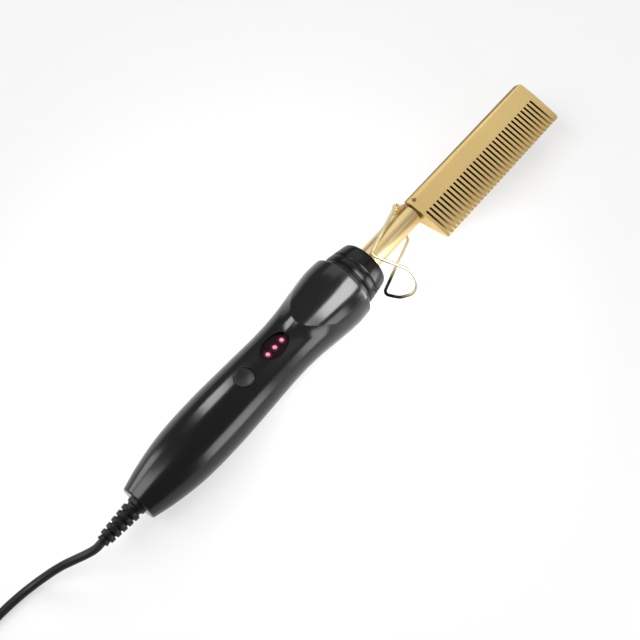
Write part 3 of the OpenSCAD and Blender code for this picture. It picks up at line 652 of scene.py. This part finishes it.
# Painted shade: towards the tooth roots the slots darken to near black, where they are deepest.
paint_shade(slot_gold_painted_shade, tool_place(0, root_y), near=0.004, far=0.0145,
        colour=(0.1, 0.045, 0.008), along=(0, 1, 0))
head.data.materials.append(slot_gold_painted_shade)
for face in head.data.polygons:
    in_slot = abs(face.normal.x) > 0.9 and slots[0] < from_rear(face.center) < slots[1]
    at_root = face.normal.y < -0.9 and abs(face.center.y / MM - root_y) < 0.3
    face.material_index = 1 if in_slot or at_root else 0
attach(head, "comb_body")
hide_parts("comb_head")

set_screw = rounded_copy("head_screw", "set_screw", edge=0.08)
wear(set_screw, finish("browned_screw", (0.3, 0.22, 0.1), metallic=1, rough=(0.45, 0.6),
                       grain=5000, depth=0.00001))
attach(set_screw, "comb_body")
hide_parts("head_screw")


# ---------------------------------------------------------------- folding stand
# One length of hard wire with the same gold finish, bent to a skewed loop that props the
# comb up.  Its ends turn in the ears of a small saddle brazed to the neck.
wire_r = 0.8
pivot = (187.3, 6.8)    # where the ends turn, along the tool and to the side
# the wire's corners from there, folded back, and the radius of the bend at each
corners = [(0, 0, 2.3), (0, 0, 7.2), (-30.8, -8, 7.4), (-23.6, -27.7, 5), (-27, -36.9, 0),
           (-34.2, -30, -4.5), (-36.5, -22, -7.4), (-4.9, -12.6, -7.4), (0, 0, -7.2),
           (0, 0, -2.3)]
bends = [0, 2, 3, 10, 5.5, 8, 3, 3, 2, 0]


def bent(points, radii, step=9):
    """The wire's line through its corners, each rounded to its own radius by pieces that
    turn about step degrees."""
    points = [Vector(p) for p in points]
    line = [points[0]]
    for a, b, c, r in zip(points, points[1:], points[2:], radii[1:]):
        u, v = (b - a).normalized(), (c - b).normalized()
        turn = u.angle(v)
        start = b - u * r * math.tan(turn / 2)
        middle = b + (v - u).normalized() * r / math.cos(turn / 2)
        steps = max(3, round(math.degrees(turn) / step))
        spoke = start - middle
        for k in range(steps + 1):
            line.append(middle + Matrix.Rotation(turn * k / steps, 3, u.cross(v)) @ spoke)
    return line + [points[-1]]


wire_line = [tool_place(pivot[0] + p.x, pivot[1] + p.y, p.z) for p in bent(corners, bends)]
wire_curve = bpy.data.curves.new("stand_line", "CURVE")
wire_curve.dimensions = "3D"
wire_curve.bevel_depth = wire_r * MM
wire_curve.bevel_resolution = 6
wire_curve.use_fill_caps = True
spline = wire_curve.splines.new("POLY")
spline.points.add(len(wire_line) - 1)
for knot, place in zip(spline.points, wire_line):
    knot.co = (*place, 1)
stand = bpy.data.objects.new("stand_wire", wire_curve)
bpy.context.scene.collection.objects.link(stand)
pick(stand)
bpy.ops.object.convert(target="MESH")
stand = bpy.context.object
bpy.ops.object.mode_set(mode="EDIT")
bpy.ops.mesh.select_all(action="SELECT")
bpy.ops.mesh.remove_doubles(threshold=0.000005)
bpy.ops.mesh.normals_make_consistent(inside=False)
bpy.ops.object.mode_set(mode="OBJECT")
smooth(stand, 50)
gold_wire = finish("gold_wire", (0.8, 0.72, 0.45), metallic=1, rough=(0.3, 0.4), mottle=0.05,
                   cloud=80, grain=3000, depth=0.000005)
# Painted shade: the wire darkens to near black round the far end of its loop, standing for the
# dark it reflects there.
loop_end = tool_place(pivot[0] - 34, pivot[1] - 24, -7)
paint_shade(gold_wire, loop_end, near=0.006, far=0.019, colour=(0.02, 0.019, 0.014))
wear(stand, gold_wire)
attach(stand, "stand")
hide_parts("wire_stand")

bracket = rounded_copy("stand_bracket", "stand_saddle", edge=0.15, angle=40)
wear(bracket, gold_tube)
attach(bracket, "comb_body")
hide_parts("stand_bracket")


# ---------------------------------------------------------------- lamp window and lamps
# A smoked window set into the oval hole, with three small pink lamps whose light spills
# over it.
lamp_head = 12.4        # the height of the lamps' heads over the tool's axis
window = rounded_copy("led_window", "lamp_window", edge=0.12, angle=40)
window_smoke = finish("window_smoke", (0.005, 0.002, 0.003), rough=(0.1, 0.18), specular=0.3,
                      cloud=200, grain=900, depth=0.000006)


def lamp_light(material, near, far, colour, strength):
    """Adds light to a material round the lamps: full up to near from the middle of a lamp's
    head and none beyond far, in metres."""
    nodes, links = material.node_tree.nodes, material.node_tree.links
    where = nodes.new("ShaderNodeTexCoord")
    total = None
    for k in (-1, 0, 1):
        apart = nodes.new("ShaderNodeVectorMath")
        apart.operation = "DISTANCE"
        apart.inputs[1].default_value = tool_place(lamp_x + k * lamp_pitch, 0, lamp_head)
        links.new(where.outputs["Object"], apart.inputs[0])
        fade = nodes.new("ShaderNodeMapRange")
        fade.interpolation_type = "SMOOTHSTEP"
        span(fade, near, far, 1, 0)
        links.new(apart.outputs["Value"], fade.inputs["Value"])
        if total is None:
            total = fade.outputs["Result"]
        else:
            most = nodes.new("ShaderNodeMath")
            most.operation = "MAXIMUM"
            links.new(total, most.inputs[0])
            links.new(fade.outputs["Result"], most.inputs[1])
            total = most.outputs["Value"]
    glow = nodes.new("ShaderNodeMix")
    glow.data_type = "RGBA"
    glow.inputs[6].default_value = (0, 0, 0, 1)
    glow.inputs[7].default_value = (*colour, 1)
    links.new(total, glow.inputs[0])
    links.new(glow.outputs[2], nodes["Principled BSDF"].inputs["Emission Color"])
    nodes["Principled BSDF"].inputs["Emission Strength"].default_value = strength


lamp_light(window_smoke, near=0.0008, far=0.0026, colour=(0.13, 0.003, 0.028), strength=1)
wear(window, window_smoke)
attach(window, "comb_body")
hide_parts("led_window")

lamps = rounded_copy("led_lamps", "pink_lamps", edge=0.02, angle=60, flat=0.1)
lamp_glow = finish("lamp_pink", (0.12, 0.008, 0.03), rough=(0.15, 0.25), cloud=900, grain=3000,
                   depth=0.000004)
lamp_light(lamp_glow, near=0.0002, far=0.0015, colour=(1, 0.36, 0.54), strength=1)
wear(lamps, lamp_glow)
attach(lamps, "comb_body")
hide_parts("led_lamps")


# ---------------------------------------------------------------- power button
# A soft-touch button with a slightly hollow top, loose in its hole.  It moves straight
# down on the switch's plunger.
button_top, dish_depth, dish_round = 14.35, 0.37, 23
flange_foot, flange_top, flange_r = 9.9, 10.7, 5.6
rings = [(flange_foot, flange_r), (flange_top, flange_r), (flange_top, button_r),
         (13.85, button_r), (14.07, 4.56), (14.24, 4.45), (14.34, 4.3)]
rings += [(button_top - dish_depth + r * r / (2 * dish_round), r)
          for r in (4.1, 3.6, 3, 2.4, 1.8, 1.2, 0.6)]
button = lathe("button_cap", rings, upright=button_x)
smooth(button, 40)
wear(button, finish("button_black", (0.009, 0.009, 0.009), rough=(0.26, 0.36), specular=0.35,
                    grain=2600, depth=0.00001))
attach(button, "button")
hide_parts("power_button")


# ---------------------------------------------------------------- inner pieces
# What the shells close over: the control board with its parts, the leads to the heater in
# the comb's spine, the plate and bush that hold the neck, and the screws.
steel = finish("screw_steel", (0.56, 0.56, 0.55), metallic=1, rough=(0.25, 0.4), mottle=0.06,
               cloud=300, grain=5000, depth=0.00001)
ceramic = finish("ceramic_white", (0.75, 0.73, 0.68), rough=(0.5, 0.7), grain=1200,
                 depth=0.00003)
epoxy = finish("epoxy_black", (0.018, 0.018, 0.02), rough=(0.45, 0.6), grain=3000, depth=0.00001)
inner = {
    "shell_screws": steel, "board_screws": steel, "clamp_screws": steel, "tube_lock_plate": steel,
    "insulator_bush": ceramic, "heater_rod": ceramic,
    "insulating_sleeve": finish("glass_sleeve", (0.8, 0.8, 0.76), rough=(0.7, 0.85), grain=900,
                                depth=0.0001, stretch=(1, 3, 3)),
    "circuit_board": finish("board_green", (0.02, 0.13, 0.045), rough=(0.3, 0.45), mottle=0.3,
                            cloud=500, grain=2000, depth=0.00001),
    "triac": epoxy, "control_chip": epoxy, "tact_switch": epoxy, "thermistor": epoxy,
    "film_capacitor": finish("capacitor_yellow", (0.55, 0.33, 0.04), rough=(0.35, 0.5)),
    "fuse": finish("fuse_grey", (0.5, 0.54, 0.55), rough=(0.2, 0.35)),
    "cord_clamp": finish("clamp_fibre", (0.12, 0.1, 0.09), rough=(0.6, 0.75), grain=900,
                         depth=0.00005),
    "heater_leads": finish("lead_red", (0.45, 0.03, 0.02), rough=(0.4, 0.55)),
    "supply_leads": finish("lead_brown", (0.2, 0.08, 0.03), rough=(0.4, 0.55)),
    "switch_plunger": finish("plunger_red", (0.35, 0.04, 0.04), rough=(0.35, 0.5)),
}
for node, material in inner.items():
    wear(frame["nodes"][node], material)


# ---------------------------------------------------------------- floor and light
# A white studio floor under a dim even sky.  One large lamp hangs over the rear, and small
# ones close to the tool draw the highlights along its sides.
floor_glow = 0.6        # how much of the floor is plain white to the camera and in gloss
deselect()
bpy.ops.mesh.primitive_plane_add(size=6, location=(0, 0, -0.1 * MM))
floor = bpy.context.object
floor.name = "studio_floor"
floor_white = bpy.data.materials.new("floor_white")
floor_white.use_nodes = True
nodes, links = floor_white.node_tree.nodes, floor_white.node_tree.links
matt = nodes["Principled BSDF"]
matt.inputs["Base Color"].default_value = (0.95, 0.95, 0.95, 1)
matt.inputs["Roughness"].default_value = 0.8
matt.inputs["Specular IOR Level"].default_value = 0.1
glow = nodes.new("ShaderNodeEmission")
glow.inputs["Color"].default_value = (1, 1, 1, 1)
glow.inputs["Strength"].default_value = 1
ray = nodes.new("ShaderNodeLightPath")
seen = ray.outputs["Is Camera Ray"]
for other in ("Is Glossy Ray", "Is Transmission Ray"):
    either = nodes.new("ShaderNodeMath")
    either.operation = "MAXIMUM"
    links.new(seen, either.inputs[0])
    links.new(ray.outputs[other], either.inputs[1])
    seen = either.outputs["Value"]
share = nodes.new("ShaderNodeMath")
share.operation = "MULTIPLY"
share.inputs[1].default_value = floor_glow
links.new(seen, share.inputs[0])
both = nodes.new("ShaderNodeMixShader")
links.new(share.outputs["Value"], both.inputs["Fac"])
links.new(matt.outputs["BSDF"], both.inputs[1])
links.new(glow.outputs["Emission"], both.inputs[2])
links.new(both.outputs["Shader"], nodes["Material Output"].inputs["Surface"])
wear(floor, floor_white)

sky = bpy.data.worlds.new("studio_sky")
bpy.context.scene.world = sky
sky.use_nodes = True
sky.node_tree.nodes["Background"].inputs["Color"].default_value = (1, 1, 1, 1)
sky.node_tree.nodes["Background"].inputs["Strength"].default_value = 0.22


def softbox(name, aim, azimuth, height, distance, size, level):
    """A soft lamp that far from the point it faces, azimuth degrees round from +X and
    height degrees up.  size is its width and height, and level its own brightness, where 1
    is white."""
    light = bpy.data.lights.new(name, "AREA")
    light.shape = "RECTANGLE"
    light.size, light.size_y = size
    light.energy = level * math.pi * size[0] * size[1]
    holder = bpy.data.objects.new(name, light)
    bpy.context.scene.collection.objects.link(holder)
    holder.visible_camera = False
    a, h = math.radians(azimuth), math.radians(height)
    toward = Vector((math.cos(a) * math.cos(h), math.sin(a) * math.cos(h), math.sin(h)))
    side = (Vector((1, 0, 0)) - toward * toward.x).normalized()
    turn = Matrix((side, toward.cross(side), toward)).transposed().to_4x4()
    holder.matrix_world = Matrix.Translation(Vector(aim) + toward * distance) @ turn


softbox("rear_top", (-0.05, 0, 0.02), 142, 51, 1.63, (0.8, 1.3), 5.2)
softbox("grip_side", (-0.06, -0.01, 0.01), -80, 13, 0.43, (0.14, 0.22), 6)
softbox("over_cowl", (-0.001, -0.01, 0.028), -50, 57, 0.06, (0.046, 0.045), 17)
softbox("over_flare", (-0.032, 0.003, 0.029), 97, 46, 0.12, (0.032, 0.07), 11)
softbox("collar_side", (0.028, -0.01, 0.02), -62, 5, 0.07, (0.03, 0.05), 11)
softbox("spine_side", (0.1, 0, 0.02), 45, 39, 1.2, (0.64, 0.87), 1.3)
softbox("over_comb", (0.114, -0.008, 0.015), 5.5, 57.7, 0.5, (0.3, 0.3), 0.8)
softbox("tube_side", (0.045, 0, 0.02), -42, 32, 0.35, (0.12, 0.12), 1)
softbox("boot_side", (-0.137, 0, 0.015), 92, 25, 0.12, (0.05, 0.06), 5)
